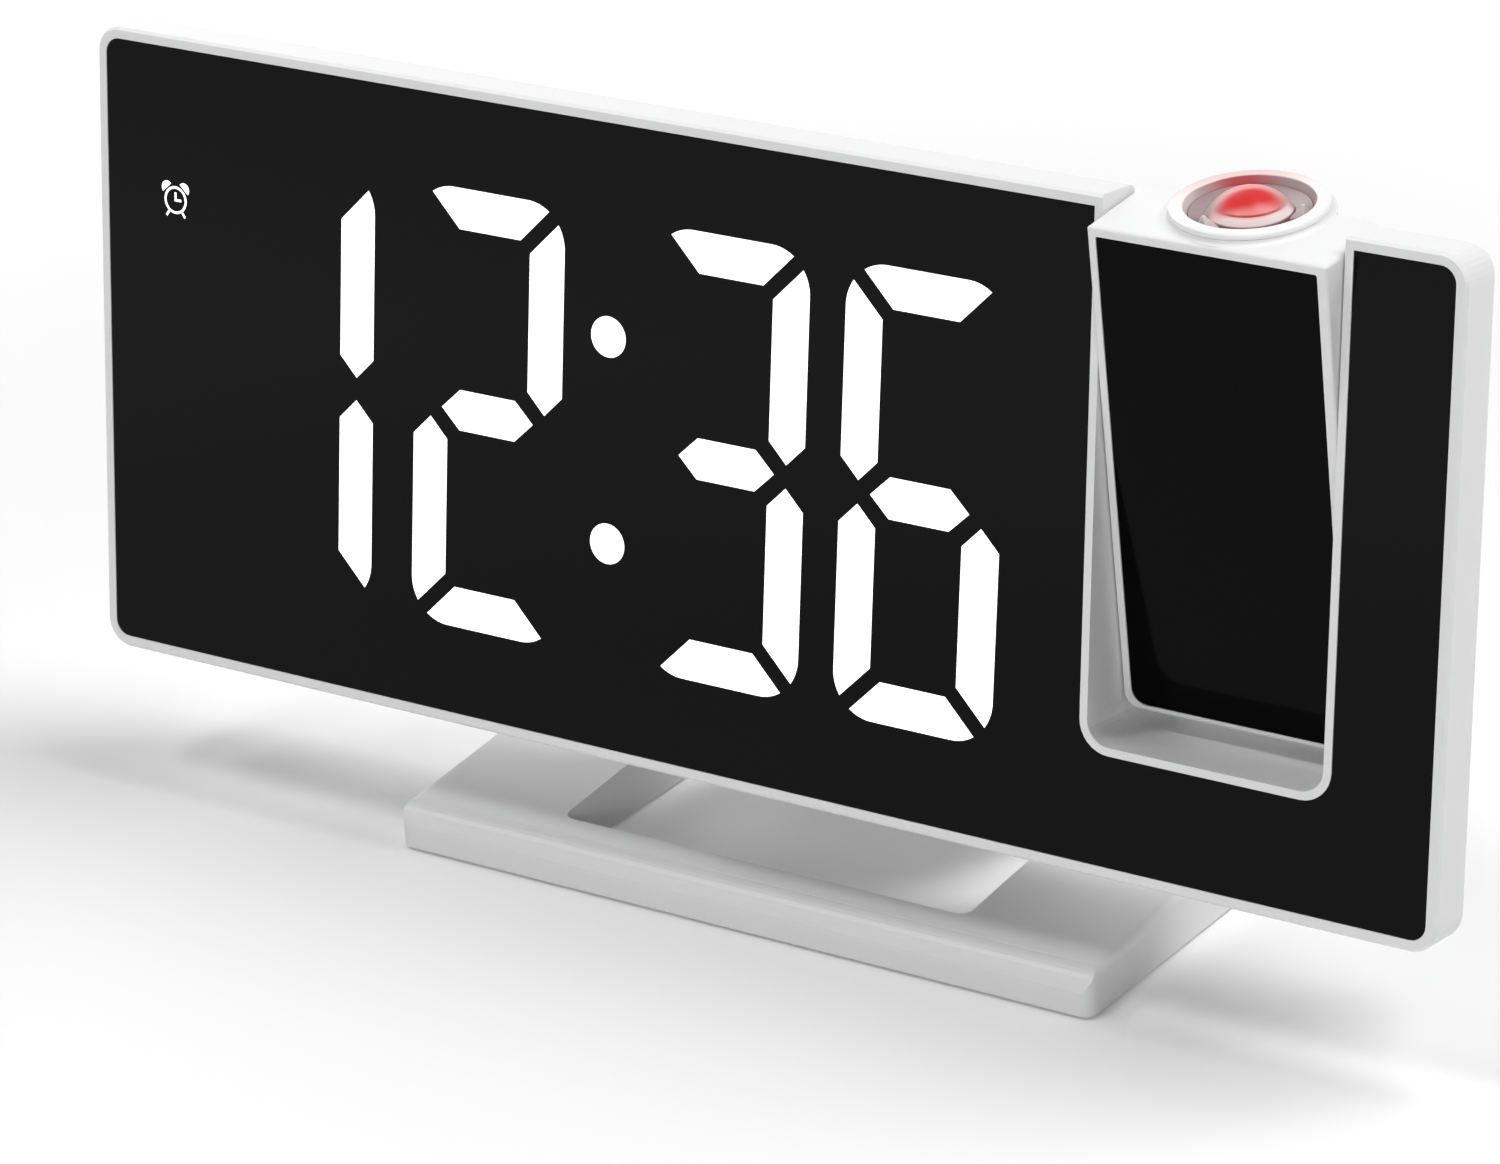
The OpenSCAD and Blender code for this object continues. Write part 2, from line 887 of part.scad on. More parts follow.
// The projector body, drawn in by inset on every side: a box with a round back for the lens tube.
module body_block(inset) {
    top = max(0.5 - inset, 0.3);
    low = 2.6 - inset;
    back = max(1.8 - inset, 0.4);
    side = max(0.35 - inset, 0.2);
    front = max(0.6 - inset, 0.2);
    intersection() {
        slab(-1, 30)
            soft_rect(body_x0 + inset, body_z0 + inset, body_x1 - inset, body_z1 - inset, [low, low, top, top]);
        across(body_x0 - 1, body_x1 + 1)
            soft_rect(inset, body_z0 + inset, 30, body_z1 - inset, [front, 0, 0, front]);
        upward(0, panel_h + 5) {
            soft_rect(body_x0 + inset, inset, body_x1 - inset, body_d - inset, [side, side, back, back]);
            translate([slot_x, lens_w])
                circle(bulge_r - inset, $fn = 72);
        }
    }
}

// The projector's front window, drawn in by inset.
module window_shape(inset) {
    soft_rect(
        body_x0 + window_rim[0] + inset, body_z0 + window_rim[1] + inset,
        body_x1 - window_rim[2] - inset, body_z1 - window_rim[3] - inset,
        [for (r = window_r) r - inset]
    );
}

module lens_axis(z0, z1, r) {
    translate([slot_x, lens_w, z0])
        cylinder(r = r, h = z1 - z0);
}

module pivot_bore(r) {
    translate(pivot)
        rotate([0, 90, 0])
            cylinder(r = r, h = body_w + 2, center = true);
}

// What is cut out of both shells: the hollow, the hole for the focus ring and the pivot holes.
module body_hollow() {
    ledge = 3.6;
    body_block(skin);
    slab(window_set + window_t - eps, skin + eps)
        soft_rect(body_x0 + ledge, body_z0 + ledge, body_x1 - ledge, body_z1 - ledge, [2, 2, 1, 1]);
    lens_axis(body_z1 - skin - 1, body_z1 + 2, collar_r + run_play);
    pivot_bore(pin_r);
}

// The body with the soft collar that the focus ring turns on.
module body_outside() {
    body_block(0);
    translate([slot_x, lens_w, body_z1 - 0.1])
        rotate_extrude($fn = 96)
            difference() {
                square([ring_r + boss_flare, boss_h + 0.1]);
                translate([ring_r + boss_flare, boss_flare + 0.1])
                    circle(boss_flare, $fn = 64);
            }
}

module projector_front_shell() {
    color(WHITE)
        tilted()
            difference() {
                union() {
                    difference() {
                        body_outside();
                        body_hollow();
                    }
                    for (z = [body_z0 + 6, lcd_z - 1])
                        translate([body_x0 + 1, 2, z])
                            cube([4.5, part_line - 2, 4.5]);
                    for (z = [body_z0 + 6, lcd_z - 1])
                        translate([body_x1 - 5.5, 2, z])
                            cube([4.5, part_line - 2, 4.5]);
                }
                slab(-1, window_set + window_t)
                    window_shape(0);
                slab(part_line, 40)
                    square([big, big], center = true);
                for (at = shell_screws_at)
                    rod(at, screw_r + 0.05, 3.5, part_line + 1);
            }
}

shell_screws_at = [
    for (x = [body_x0 + 3.2, body_x1 - 3.2], z = [body_z0 + 8.25, lcd_z + 1.25]) [x, z]
];

module projector_rear_shell() {
    color(WHITE)
        tilted()
            difference() {
                union() {
                    difference() {
                        body_outside();
                        body_hollow();
                    }
                    for (at = shell_screws_at)
                        translate([at[0] - 2.3, part_line, at[1] - 2.25])
                            cube([4.6, body_d - part_line - 1, 4.5]);
                }
                slab(-1, part_line)
                    square([big, big], center = true);
                for (at = shell_screws_at) {
                    rod(at, screw_r + 0.2, part_line - 1, body_d + 1);
                    rod(at, screw_head + 0.2, body_d - 2.4, body_d + 1);
                }
            }
}

module projector_screws() {
    color(STEEL)
        tilted()
            for (at = shell_screws_at)
                screw(at, screw_r, 7, screw_head, screw_head_h, body_d - 2.4 + screw_head_h);
}

module projector_window() {
    color(GLASS)
        tilted()
            slab(window_set, window_set + window_t)
                window_shape(glass_gap);
}

// Hollow pins, so that the projector's wires pass through the pivot.
module pivot_pins() {
    color(STEEL)
        tilted()
            for (side = [-1, 1])
                translate([slot_x + side * (body_w / 2 - skin - 1.2), pivot[1], pivot[2]])
                    rotate([0, side * 90, 0])
                        difference() {
                            union() {
                                cylinder(r = pin_r, h = skin + 1.2 + pin_len);
                                cylinder(r = pin_flange, h = 1.2);
                            }
                            translate([0, 0, -1])
                                cylinder(r = 1.2, h = 10);
                        }
}

module lens_tube() {
    top = body_z1 - ring_low - 0.4;
    color(DARK)
        tilted()
            difference() {
                union() {
                    lens_axis(led_z + 3, top, tube_r);
                    upward(lcd_z - 3, lcd_z - 1)
                        soft_rect(body_x0 + skin, skin + 0.3, body_x1 - skin, body_d - skin, [0, 0, 0.9, 0.9]);
                }
                lens_axis(lcd_z + 1, top + 1, lens_bore);
                lens_axis(led_z + 2, lcd_z, 5.5);
                lens_axis(condenser_z - 1.2, condenser_z + 1.2, 7);
                upward(lcd_z, lcd_z + 1)
                    translate([slot_x, lens_w])
                        soft_square([11, 11], 0.5);
                for (at = shell_screws_at)
                    translate([at[0], 0, at[1]])
                        slab(0, 20)
                            soft_square([5, 5], 0);
            }
}

// The small display that the lamp shines through.
module image_slide() {
    color(GLASS)
        tilted()
            upward(lcd_z, lcd_z + 1)
                translate([slot_x, lens_w])
                    soft_square([10.9, 10.9], 0.4);
}

// Half of a lens: a flat face of radius r, bulging by rise.
module dome(r, rise) {
    ball = (r * r + rise * rise) / (2 * rise);
    rotate_extrude()
        intersection() {
            translate([0, rise - ball])
                circle(ball, $fn = 180);
            square([r, rise]);
        }
}

module condenser_lens() {
    color(CLEAR)
        tilted()
            translate([slot_x, lens_w, condenser_z]) {
                dome(5.4, 2);
                translate([0, 0, -1.2])
                    cylinder(r = 6.95, h = 1.2 + eps);
            }
}

module projector_led_board() {
    color(BOARD)
        tilted()
            upward(led_z + 1.8, led_z + 3)
                soft_rect(body_x0 + skin + 5, 3.2, body_x1 - skin - 5, body_d - skin, [0.5, 0.5, 0.5, 0.5]);
}

module projector_led() {
    color("tomato")
        tilted() {
            lens_axis(led_z + 3, led_z + 4.2, 2.5);
            translate([0, 0, led_z + 4.2 - eps])
                translate([slot_x, lens_w, 0])
                    dome(2.2, 1.2);
        }
}

// Ring that screws the lens in and out. Its bead snaps under the projector's top.
module focus_ring() {
    top = body_z1 + ring_h;
    under = body_z1 - skin;
    foot = body_z1 + boss_h + 0.05;
    color(WHITE)
        tilted()
            translate([slot_x, lens_w, 0])
                rotate_extrude($fn = 96)
                    polygon([
                        [lens_bore, body_z1 - ring_low],
                        [collar_r, body_z1 - ring_low],
                        [collar_r, under - 1.1],
                        [collar_r + 0.28, under - 0.7],
                        [collar_r + 0.28, under - 0.1],
                        [collar_r, under - 0.1],
                        [collar_r, foot],
                        [ring_r, foot],
                        [ring_r, top - 0.35],
                        [ring_r - 0.1, top - 0.12],
                        [ring_r - 0.35, top],
                        [cone_r + 0.12, top],
                        [cone_r, top - 0.12],
                        [lens_bore, top - recess]
                    ]);
}

// Mount that slides in the focus ring's bore and carries the lens.
module lens_cell() {
    top = body_z1 + ring_h - recess;
    color(STEEL)
        tilted()
            translate([slot_x, lens_w, 0])
                rotate_extrude($fn = 96)
                    polygon([
                        [lens_r - 0.8, top - cell_len],
                        [lens_bore - run_play, top - cell_len],
                        [lens_bore - run_play, top],
                        [lens_r, top - lens_sit],
                        [lens_r, top - lens_sit - 1],
                        [lens_r - 0.8, top - lens_sit - 1.5]
                    ]);
}

// Two pointed clips that hold the lens in its mount.
module lens_clips() {
    top = body_z1 + ring_h - recess;
    outer = lens_bore - 0.15;
    color(WHITE)
        tilted()
            translate([slot_x, lens_w, top])
                for (a = clip_turn)
                    rotate([0, 0, a - 90])
                        hull() {
                            translate([lens_r + 0.1, -0.8, 0.055 - lens_sit])
                                cube([0.1, 1.6, 0.1]);
                            translate([outer - 0.1, -0.8, 0])
                                cube([0.1, 1.6, 0.1]);
                            translate([outer - 0.5, -0.1, 0])
                                cube([0.4, 0.2, clip_h]);
                        }
}

module projection_lens() {
    color(CLEAR)
        tilted()
            translate([slot_x, lens_w, body_z1 + ring_h - recess - lens_sit]) {
                dome(lens_r - 0.02, lens_rise);
                translate([0, 0, -0.95])
                    cylinder(r = lens_r - 0.02, h = 0.95 + eps);
            }
}

// ---------------------------------------------------------------- stand

function stand_top(y) = foot_gap + stand_h + (y - stand_y0) * tan(stand_rise);

// A point of the panel's frame at height v and depth w, in the stand's y and z.
function on_case(v, w) = [
    v * sin(panel_lean) + w * cos(panel_lean),
    panel_z + v * cos(panel_lean) - w * sin(panel_lean)
];

function bezier(p, n) = [
    for (i = [0 : n]) let (t = i / n, s = 1 - t)
        s * s * s * p[0] + 3 * s * s * t * p[1] + 3 * s * t * t * p[2] + t * t * t * p[3]
];

module stand_post(h) {
    rotate_extrude($fn = 32)
        polygon(concat(
            [[0, 0], [stand_r, 0]],
            corner(stand_r - stand_edge, h - stand_edge, stand_edge, 0),
            [[0, h]]
        ));
}

module stand_block() {
    intersection() {
        hull()
            for (x = [-1, 1], y = [stand_y0 + stand_r, stand_y1 - stand_r])
                translate([x * (stand_w / 2 - stand_r), y, foot_gap])
                    stand_post(stand_top(y) - foot_gap);
        across(-stand_w, stand_w)
            polygon(concat(
                corner(stand_y0 + stand_nose, stand_top(stand_y0 + stand_nose) - stand_nose, stand_nose, 90),
                [[stand_y0, 0], [stand_y1 + 1, 0], [stand_y1 + 1, 30], [stand_y0 + 2 * stand_nose, 30]]
            ));
    }
}

// The stand's outline without its window, drawn in by inset.
module stand_plan(inset) {
    r = max(stand_r - inset, 0.5);
    difference() {
        soft_rect(inset - stand_w / 2, stand_y0 + inset, stand_w / 2 - inset, stand_y1 - inset, [r, r, r, r]);
        soft_rect(-window_w / 2 - inset, window_y0 - inset, window_w / 2 + inset, window_y1 + inset,
            [opening_r, opening_r, opening_r, opening_r]);
    }
}

// Side view of the neck that rises from the stand's rear bar to the back of the case.
module neck_side(inset) {
    back = bezier([
        on_case(neck_top, case_d + neck_t) - [inset, 0],
        on_case(6, case_d + neck_t) - [inset, 0],
        [33 - inset, 14],
        [51 - inset, stand_top(51) - 1.5]
    ], 20);
    front = bezier([
        [38 + inset, stand_top(38) - 2],
        [30 + inset, 10],
        on_case(-7, case_d) + [inset, 0],
        on_case(5.5, case_d) + [inset, 0]
    ], 14);
    polygon(concat(back, front, [on_case(neck_top, case_d) + [inset, 0]]));
}

module stand_frame() {
    color(WHITE)
        on_floor()
            difference() {
                union() {
                    difference() {
                        stand_block();
                        upward(-1, 30)
                            soft_rect(-window_w / 2, window_y0, window_w / 2, window_y1,
                                [opening_r, opening_r, opening_r, opening_r]);
                    }
                    intersection() {
                        across(-neck_w / 2, neck_w / 2)
                            neck_side(0);
                        slab(0, 100)
                            soft_rect(-neck_w / 2, 0, neck_w / 2, on_case(neck_top, case_d)[1], [0, 0, 6, 6]);
                    }
                }
                difference() {
                    intersection() {
                        upward(plate_z + plate_t, 30)
                            stand_plan(stand_wall);
                        across(-stand_w, stand_w)
                            polygon([
                                [stand_y0, 0],
                                [stand_y1, 0],
                                [stand_y1, stand_top(stand_y1) - stand_wall],
                                [stand_y0, stand_top(stand_y0) - stand_wall]
                            ]);
                    }
                    for (x = [-39.5, 0, 39.5])
                        translate([x - 0.7, stand_y0, 0])
                            cube([1.4, stand_d, 30]);
                    for (y = [14, 34])
                        translate([-stand_w / 2, y, 0])
                            cube([stand_w, 1.4, 30]);
                }
                upward(0, plate_z + plate_t)
                    stand_plan(stand_wall - 0.6);
                for (x = [-1, 1])
                    across(x > 0 ? 1 : neck_wall - neck_w / 2, x > 0 ? neck_w / 2 - neck_wall : -1)
                        intersection() {
                            neck_side(neck_wall);
                            translate([0, stand_top(45) - stand_wall - 1])
                                square([60, 18]);
                        }
                translate([0, y_mid, 0])
                    leaning()
                        for (at = neck_screws) {
                            rod(at, 1.7, case_d - 1, case_d + neck_t + 1);
                            rod(at, 3.1, case_d + neck_t - 1.6, case_d + neck_t + 6);
                        }
            }
}

module stand_base_plate() {
    color(WHITE)
        on_floor()
            difference() {
                upward(plate_z, plate_z + plate_t)
                    stand_plan(stand_wall - 0.5);
                for (at = pads_at)
                    translate([at[0], at[1], plate_z - 1])
                        cylinder(r = pad_r, h = 1.6);
            }
}

module stand_pads() {
    color(RUBBER)
        on_floor()
            for (at = pads_at)
                translate([at[0], at[1], 0])
                    cylinder(r = pad_r, h = plate_z + 0.6);
}

module stand_screws() {
    color(STEEL)
        leaning()
            for (at = neck_screws)
                screw(at, 1.5, 8, 2.9, 1.4, case_d + neck_t - 0.2);
}

front_frame();
display_mirror();
display_digits();
alarm_indicator();
diffuser_film();
segment_mask();
led_board();
segment_leds();
rear_cover();
case_screws();
main_board();
board_chips();
board_screws();
button_switches();
snooze_switch();
power_board();
power_board_screws();
usb_socket();
power_socket();
speaker();
battery_contact();
coin_cell();
pivot_bushes();
stand_frame();
stand_base_plate();
stand_pads();
stand_screws();
battery_lid();
set_button();
up_button();
down_button();
alarm_button();
projector_button();
snooze_button();
projector_front_shell();
projector_rear_shell();
projector_window();
pivot_pins();
lens_tube();
image_slide();
condenser_lens();
projector_led_board();
projector_led();
projector_screws();
focus_ring();
lens_cell();
lens_clips();
projection_lens();
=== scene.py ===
import json
import math
import bpy
from mathutils import Matrix, Vector

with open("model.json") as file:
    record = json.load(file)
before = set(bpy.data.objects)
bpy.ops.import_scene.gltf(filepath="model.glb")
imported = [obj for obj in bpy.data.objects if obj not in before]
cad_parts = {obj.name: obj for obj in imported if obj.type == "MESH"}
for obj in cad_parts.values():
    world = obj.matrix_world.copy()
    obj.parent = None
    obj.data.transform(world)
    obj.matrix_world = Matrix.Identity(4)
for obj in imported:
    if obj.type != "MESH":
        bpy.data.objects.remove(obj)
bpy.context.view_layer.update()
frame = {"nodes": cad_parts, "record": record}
NODES = frame["nodes"]


# ---- building node trees ----

# Sockets of a colour Mix node, whose other sockets have the same names.
MIX_LOW, MIX_HIGH, MIX_RESULT = 6, 7, 2
MM_PER_METRE = 1000


class Tree:
    """A short way to write the nodes of a material or world. Values are numbers or sockets."""

    def __init__(self, owner):
        self.tree = owner.node_tree
        self.surface = self.tree.nodes.get("Principled BSDF")

    def place(self):
        """The object's own coordinates, in metres."""
        return self.tree.nodes.new("ShaderNodeTexCoord").outputs["Object"]

    def put(self, socket, value):
        """Links a socket to a value, or sets it to that value."""
        if isinstance(value, bpy.types.NodeSocket):
            self.tree.links.new(value, socket)
        else:
            socket.default_value = value

    def calc(self, operation, *values):
        """The result of a Math node."""
        n = self.tree.nodes.new("ShaderNodeMath")
        n.operation = operation
        for socket, value in zip(n.inputs, values):
            self.put(socket, value)
        return n.outputs[0]

    def along(self, origin, direction):
        """Distance from origin along a direction, in millimetres."""
        n = self.tree.nodes.new("ShaderNodeVectorMath")
        n.operation = "SUBTRACT"
        self.put(n.inputs[0], self.place())
        self.put(n.inputs[1], origin)
        d = self.tree.nodes.new("ShaderNodeVectorMath")
        d.operation = "DOT_PRODUCT"
        self.put(d.inputs[0], n.outputs[0])
        self.put(d.inputs[1], [MM_PER_METRE * c for c in direction])
        return d.outputs["Value"]

    def length(self, a, b):
        """Length of a vector with the two parts a and b."""
        squares = self.calc("MULTIPLY", a, a), self.calc("MULTIPLY", b, b)
        return self.calc("SQRT", self.calc("ADD", *squares))

    def scaled(self, value, centre, size):
        """Distance of a value from centre, in units of size."""
        return self.calc("DIVIDE", self.calc("SUBTRACT", value, centre), size)

    def step(self, value, start, end):
        """0 at start, 1 at end, and smooth between them."""
        n = self.tree.nodes.new("ShaderNodeMapRange")
        n.interpolation_type = "SMOOTHSTEP"
        if start > end:
            value, start, end = self.calc("MULTIPLY", value, -1), -start, -end
        for socket, v in zip(n.inputs, (value, start, end)):
            self.put(socket, v)
        return n.outputs["Result"]

    def blend(self, share, low, high):
        """The colour low where share is 0, and high where it is 1."""
        n = self.tree.nodes.new("ShaderNodeMix")
        n.data_type = "RGBA"
        self.put(n.inputs["Factor"], share)
        for socket, color in ((MIX_LOW, low), (MIX_HIGH, high)):
            linked = isinstance(color, bpy.types.NodeSocket)
            self.put(n.inputs[socket], color if linked else (*color, 1))
        return n.outputs[MIX_RESULT]

    def paint(self, color, glow=0.0):
        """Gives the surface a colour, of which the share glow is its own light."""
        if glow:
            self.put(self.surface.inputs["Emission Color"], color)
            self.surface.inputs["Emission Strength"].default_value = glow
            color = self.blend(1 - glow, (0, 0, 0), color)
        self.put(self.surface.inputs["Base Color"], color)

    def white_rays(self):
        """1 for the rays that see a white background: those of the camera, of gloss and through glass."""
        rays = self.tree.nodes.new("ShaderNodeLightPath").outputs
        seen = self.calc("MAXIMUM", rays["Is Camera Ray"], rays["Is Glossy Ray"])
        return self.calc("MAXIMUM", seen, rays["Is Transmission Ray"])


def material(name, color, rough, **more):
    """A plain material. The names in more are those of the shader's inputs, with _ for a space."""
    m = bpy.data.materials.new(name)
    m.use_nodes = True
    s = m.node_tree.nodes["Principled BSDF"]
    s.inputs["Base Color"].default_value = (*color, 1)
    s.inputs["Roughness"].default_value = rough
    for k, v in more.items():
        s.inputs[k.replace("_", " ")].default_value = v
    return m


GRAIN_SCALE, GRAIN_DETAIL = 900, 3
GRAIN_STRENGTH, GRAIN_DEPTH = 0.06, 0.0002


def grained(name, color, rough):
    """Plastic with fine moulded grain."""
    m = material(name, color, rough)
    t = Tree(m)
    n = t.tree.nodes.new("ShaderNodeTexNoise")
    n.inputs["Scale"].default_value = GRAIN_SCALE
    n.inputs["Detail"].default_value = GRAIN_DETAIL
    b = t.tree.nodes.new("ShaderNodeBump")
    b.inputs["Strength"].default_value = GRAIN_STRENGTH
    b.inputs["Distance"].default_value = GRAIN_DEPTH
    t.put(n.inputs["Vector"], t.place())
    t.put(b.inputs["Height"], n.outputs["Fac"])
    t.put(t.surface.inputs["Normal"], b.outputs["Normal"])
    return m


# ---- the focus ring and the lens, painted along the ring's own axes, with painted highlight, reflection and shade ----
# Lengths here are in millimetres. u runs to the right and w to the front, as the first view shows them.

RING_CENTRE = (0.0647, -0.01025, 0.096134)
FRONTWARD = (0.5995, -0.7989, -0.0489)
RIGHTWARD = (0.8004, 0.5984, 0.0366)

LENS_MIDDLE, LENS_FLANK = (0.80, 0.27, 0.26), (0.48, 0.31, 0.30)
LENS_FRONT_RIM = (0.84, 0.70, 0.70)
LENS_CORE = (0.68, 0.03, 0.033)
LENS_PAINTED_HIGHLIGHT = (0.90, 0.27, 0.27)
LENS_REFLECTED_ARC, LENS_REFLECTED_ARC_R = (0.42, 0.05, 0.055), 4.02
LENS_EDGE_SHADE = (0.16, 0.08, 0.085)
LENS_GLOW = 0.55

MOUNT_REAR, MOUNT_FRONT_SHADE = (0.29, 0.21, 0.21), (0.12, 0.06, 0.063)

RING_WHITE, RING_PAINTED_RED_LIGHT = (0.84, 0.84, 0.845), (0.82, 0.55, 0.55)
BORE_MIDDLE_SHADE_RED_LIGHT, BORE_SIDE_SHADE, BORE_LEFT_END = (0.46, 0.06, 0.07), (0.42, 0.33, 0.34), (0.66, 0.60, 0.60)
BORE_R = (7.46, 7.36)


def ring_place(t):
    """Distances from the ring's axis: u, w and outwards."""
    u, w = t.along(RING_CENTRE, RIGHTWARD), t.along(RING_CENTRE, FRONTWARD)
    return u, w, t.length(u, w)


def lens_material():
    """The lens with the red light in it: deepest in the middle, pale round its front, with a painted
    highlight near the top, a thin dark arc at the front that is a painted reflection, and painted shade
    along its front edge.
    """
    m = material("lens_red", (0.8, 0.3, 0.3), 0.3, Specular_IOR_Level=0.15)
    t = Tree(m)
    u, w, r = ring_place(t)
    flank = t.step(t.calc("ABSOLUTE", u), 1.5, 4.4)
    body = t.blend(flank, LENS_MIDDLE, LENS_FLANK)
    front_rim = t.calc("MULTIPLY", t.step(r, 3.95, 4.35), t.step(w, 0.5, 2.2))
    body = t.blend(front_rim, body, LENS_FRONT_RIM)
    core = t.length(t.scaled(u, -0.3, 4.7), t.scaled(w, 1.6, 2.2))
    body = t.blend(t.step(core, 1.0, 0.45), body, LENS_CORE)
    # A pale spot near the top of the lens: a painted highlight.
    painted_highlight = t.length(t.scaled(u, -0.2, 2.0), t.scaled(w, -0.7, 0.9))
    body = t.blend(t.step(painted_highlight, 1.0, 0.6), body, LENS_PAINTED_HIGHLIGHT)
    # A thin dark arc across the front of the lens: a painted reflection.
    off_reflected_arc = t.calc("ABSOLUTE", t.calc("SUBTRACT", r, LENS_REFLECTED_ARC_R))
    arc = t.calc("MULTIPLY", t.step(off_reflected_arc, 0.16, 0.03), t.step(w, 2.0, 3.4))
    body = t.blend(arc, body, LENS_REFLECTED_ARC)
    # Darker along the lens's front edge: painted shade.
    edge = t.calc("MULTIPLY", t.step(r, 4.74, 4.9), t.step(w, -0.5, 1))
    body = t.blend(edge, body, LENS_EDGE_SHADE)
    t.paint(body, LENS_GLOW)
    return m


def mount_material():
    """The glossy mauve seat round the lens, with painted shade making it darker towards the front."""
    m = material("lens_mount", (0.3, 0.26, 0.27), 0.25)
    t = Tree(m)
    w = t.along(RING_CENTRE, FRONTWARD)
    # Painted shade: darker towards the front.
    t.paint(t.blend(t.step(w, -0.8, 2.0), MOUNT_REAR, MOUNT_FRONT_SHADE))
    return m


def ring_material():
    """White plastic. The red light tints the bore and the rear of the ring's top: painted light. The bore
    is also darkened by painted shade, paler at its left end.
    """
    m = material("white_ring", RING_WHITE, 0.3)
    t = Tree(m)
    u, w, r = ring_place(t)
    # The rear of the ring's top: the lens's red light painted on as a pink tint.
    top = t.blend(t.step(w, -2, -9), RING_WHITE, RING_PAINTED_RED_LIGHT)
    # The bore: painted shade, with a painted red reflection of the lens in its middle, paler at the left
    # end.
    bore = t.blend(t.step(t.calc("ABSOLUTE", u), 0.5, 5.5), BORE_MIDDLE_SHADE_RED_LIGHT, BORE_SIDE_SHADE)
    bore = t.blend(t.step(u, -4.5, -7.2), bore, BORE_LEFT_END)
    t.paint(t.blend(t.step(r, *BORE_R), top, bore))
    return m


# ---- materials: one for each material slot, and one for the lens clips ----

WHITE = (0.80, 0.80, 0.805)
LIT = {"Emission_Color": (1, 1, 1, 1), "Emission_Strength": 1.0}
RED = {"Emission_Color": (1, 0.05, 0.03, 1), "Emission_Strength": 1.0}
MATS = {
    "white_case": grained("white_case", WHITE, 0.38),
    "white_buttons": material("white_buttons", WHITE, 0.35),
    "white_projector": grained("white_projector", WHITE, 0.38),
    "white_ring": ring_material(),
    "white_stand": grained("white_stand", WHITE, 0.4),
    "mirror_glass": material(
        "mirror_glass", (0.0015, 0.0015, 0.0016), 0.035, Specular_IOR_Level=0.088),
    "black_window": material("black_window", (0, 0, 0), 0.1, Specular_IOR_Level=0.06),
    "film": material("film", (0.8, 0.8, 0.8), 0.6),
    "black_plastic": material("black_plastic", (0.02, 0.02, 0.02), 0.5),
    "board_green": material("board_green", (0.015, 0.12, 0.05), 0.4),
    "led_body": material("led_body", (0.85, 0.8, 0.55), 0.5),
    "steel": material("steel", (0.6, 0.6, 0.61), 0.28, Metallic=1.0),
    "speaker_black": material("speaker_black", (0.02, 0.02, 0.022), 0.7),
    "pad_rubber": material("pad_rubber", (0.06, 0.06, 0.06), 0.8),
    "lens_clear": material("lens_clear", (1, 1, 1), 0.02, Transmission_Weight=1.0),
    "slide_glass": material("slide_glass", (0.05, 0.05, 0.055), 0.1),
    "lit_white": material("lit_white", (0.9, 0.9, 0.9), 0.4, **LIT),
    "led_red": material("led_red", (0.7, 0.02, 0.01), 0.3, **RED),
    "lens_mount": mount_material(),
    "lens_red": lens_material(),
    # The two lens clips are pale and pinkish so that they show as the bright highlights beside the lens:
    # small parts carrying a painted highlight.
    "lens_clips": material("lens_clips", (0.68, 0.61, 0.61), 0.3),
}
SHARP_ANGLE = math.radians(32)

# A material that has a node's own name goes before that of its slot.
for sub in frame["record"]["subparts"]:
    o = NODES[sub["node"]]
    o.data.materials.clear()
    o.data.materials.append(MATS.get(sub["node"], MATS[sub["material_slot"]]))

for o in NODES.values():
    o.data.shade_smooth()
    o.data.set_sharp_from_angle(angle=SHARP_ANGLE)


# ---- stage ----

def link(o):
    bpy.context.scene.collection.objects.link(o)
    return o


FLOOR_WHITE = (0.86, 0.86, 0.86)
FLOOR_REACH = 3
NEAR_LIFT, MORE_LIFT = 0.12, 0.4
LIFT_FROM, LIFT_TO = 160, 500


def floor_material():
    """A matt white table, lifted towards the white background: a little near the clock, more beyond."""
    m = material("floor_white", FLOOR_WHITE, 0.9, Specular_IOR_Level=0)
    t = Tree(m)
    middle = (0, 0, 0)
    away = t.length(t.along(middle, (1, 0, 0)), t.along(middle, (0, 1, 0)))
    lift = t.calc("MULTIPLY_ADD", t.step(away, LIFT_FROM, LIFT_TO), MORE_LIFT, NEAR_LIFT)
    t.put(t.surface.inputs["Emission Strength"], t.calc("MULTIPLY", t.white_rays(), lift))
    t.put(t.surface.inputs["Emission Color"], (1, 1, 1, 1))
    return m


def floor():
    me = bpy.data.meshes.new("floor")
    corners = ((-1, -1), (1, -1), (1, 1), (-1, 1))
    me.from_pydata([(FLOOR_REACH * x, FLOOR_REACH * y, 0) for x, y in corners], [], [(0, 1, 2, 3)])
    me.materials.append(floor_material())
    link(bpy.data.objects.new("floor", me))


def area(name, where, at, size, power):
    """A rectangular lamp with a power in watts, turned towards the point at."""
    lamp = bpy.data.lights.new(name, "AREA")
    lamp.shape = "RECTANGLE"
    lamp.size, lamp.size_y = size
    lamp.energy = power
    o = link(bpy.data.objects.new(name, lamp))
    aim = (Vector(at) - Vector(where)).to_track_quat("-Z", "Y").to_matrix().to_4x4()
    o.matrix_world = Matrix.Translation(where) @ aim


CLOCK_LOW, CLOCK_MIDDLE = (0, -0.01, 0.03), (0, -0.01, 0.05)

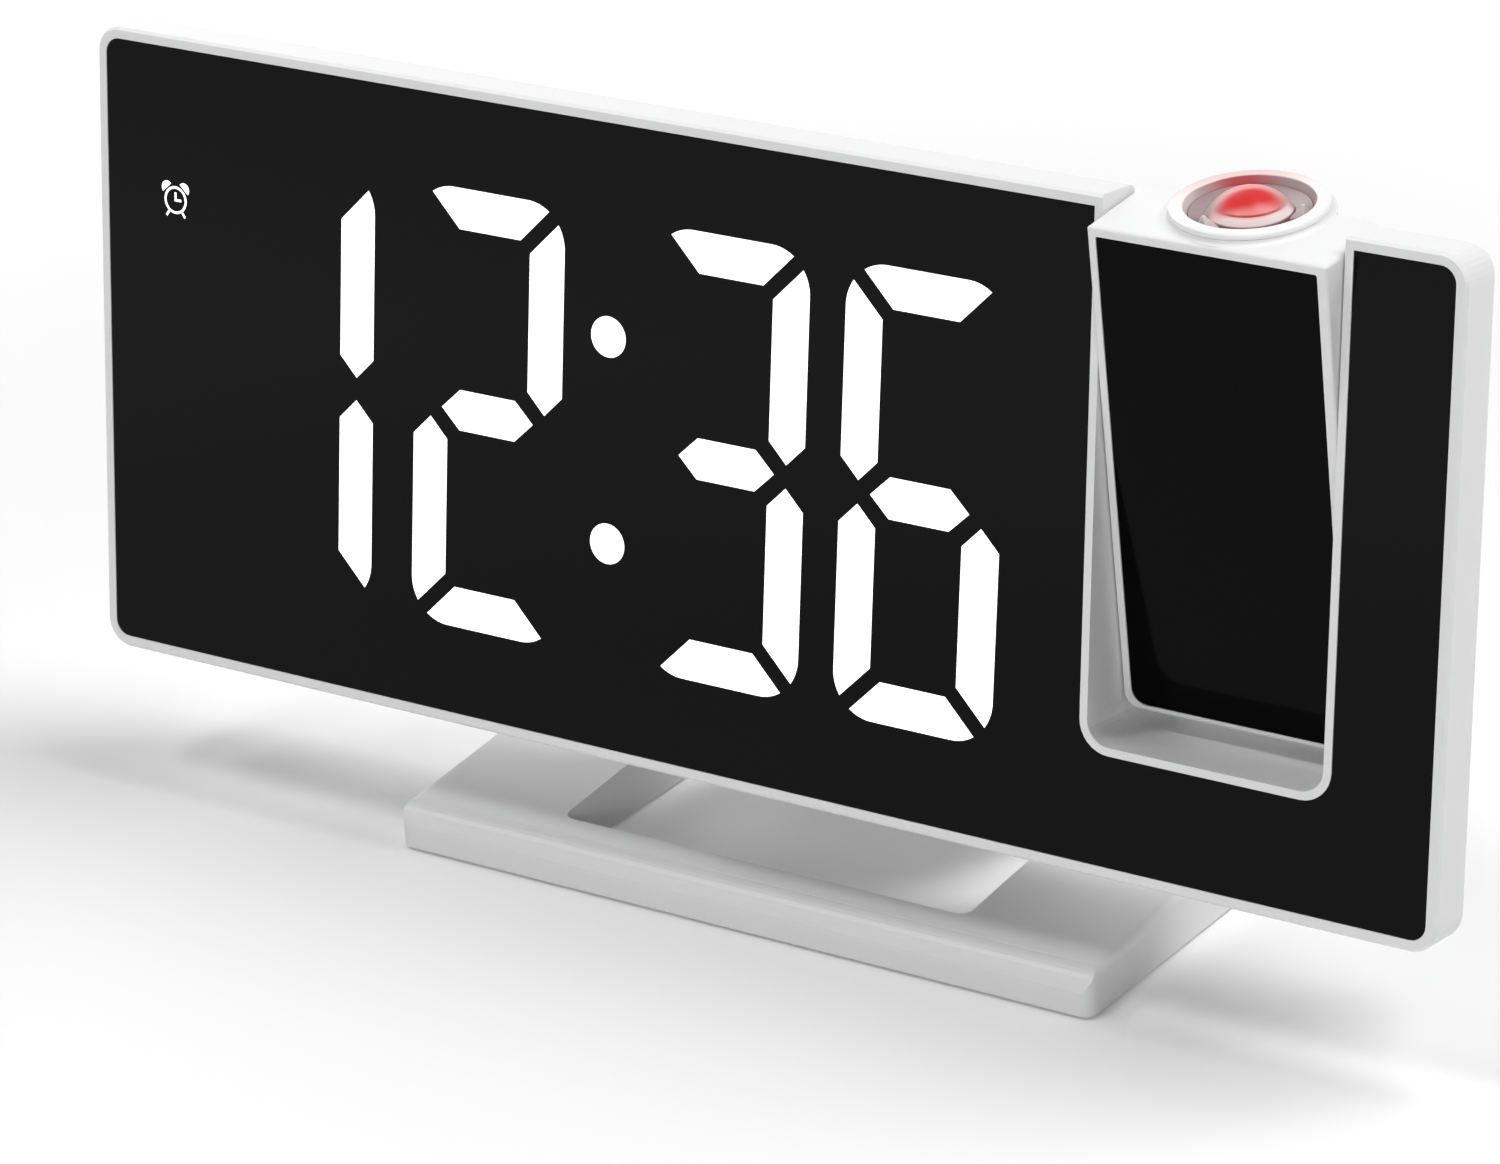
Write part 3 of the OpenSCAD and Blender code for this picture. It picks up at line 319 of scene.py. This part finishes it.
floor()
area("key_light", (-0.2, -0.41, 1.03), CLOCK_LOW, (0.22, 0.22), 2.2)
area("key_light_left", (-0.65, -0.41, 1.03), CLOCK_LOW, (0.4, 0.25), 2.2)
area("top_light", (0.2, 0.14, 1.1), CLOCK_LOW, (0.3, 0.3), 1.1)
area("right_light", (0.56, 0.3, 1.03), CLOCK_LOW, (0.5, 0.9), 9.5)
area("left_light", (-1.3, 0.7, 0.8), CLOCK_MIDDLE, (1.3, 1.0), 6.2)
area("front_light", (0.5, -1.2, 0.37), CLOCK_LOW, (1.4, 0.4), 5.8)


# ---- world: white for the camera, metal and glass, and a plain level of light for the rest ----

ROOM_LIGHT = 0.02


def studio():
    world = bpy.data.worlds.new("studio")
    bpy.context.scene.world = world
    world.use_nodes = True
    t = Tree(world)
    back = t.tree.nodes["Background"]
    back.inputs["Color"].default_value = (1, 1, 1, 1)
    t.put(back.inputs["Strength"], t.calc("MAXIMUM", t.white_rays(), ROOM_LIGHT))


studio()


# ---- camera ----

# Angles in radians, the focal length in pixels of the picture, and places in millimetres.
YAW, PITCH, ROLL = 0.6258814881, 0.4133478702, -0.0689327354
FOCUS, PICTURE_WIDTH = 6230.2879, 1500
BASE_POINT = Vector((0, -26.75, 0.4))   # at the stand's front bottom edge, above its feet
BASE_IN_VIEW = (-1.6772440582, 41.2752437541, 744.8317003755)   # that point to the right, down and ahead
SENSOR_WIDTH = 36
NEAREST = 0.01


def camera():
    yaw_cos, yaw_sin = math.cos(YAW), math.sin(YAW)
    forward = Vector((-yaw_sin * math.cos(PITCH), yaw_cos * math.cos(PITCH), -math.sin(PITCH)))
    right = Vector((yaw_cos, yaw_sin, 0))
    low = forward.cross(right)
    roll_cos, roll_sin = math.cos(ROLL), math.sin(ROLL)
    across = roll_cos * right - roll_sin * low
    down = roll_sin * right + roll_cos * low
    rightwards, downwards, ahead = BASE_IN_VIEW
    place = BASE_POINT - (rightwards * across + downwards * down + ahead * forward)
    lens = bpy.data.cameras.new("camera")
    lens.sensor_width = SENSOR_WIDTH
    lens.lens = FOCUS / PICTURE_WIDTH * SENSOR_WIDTH
    lens.clip_start = NEAREST
    cam = bpy.data.objects.new("camera", lens)
    bpy.context.scene.collection.objects.link(cam)
    turn = Matrix((across, -down, -forward)).transposed().to_4x4()
    cam.matrix_world = Matrix.Translation(place / MM_PER_METRE) @ turn
    bpy.context.scene.camera = cam


camera()
bpy.context.scene.view_settings.view_transform = "Standard"
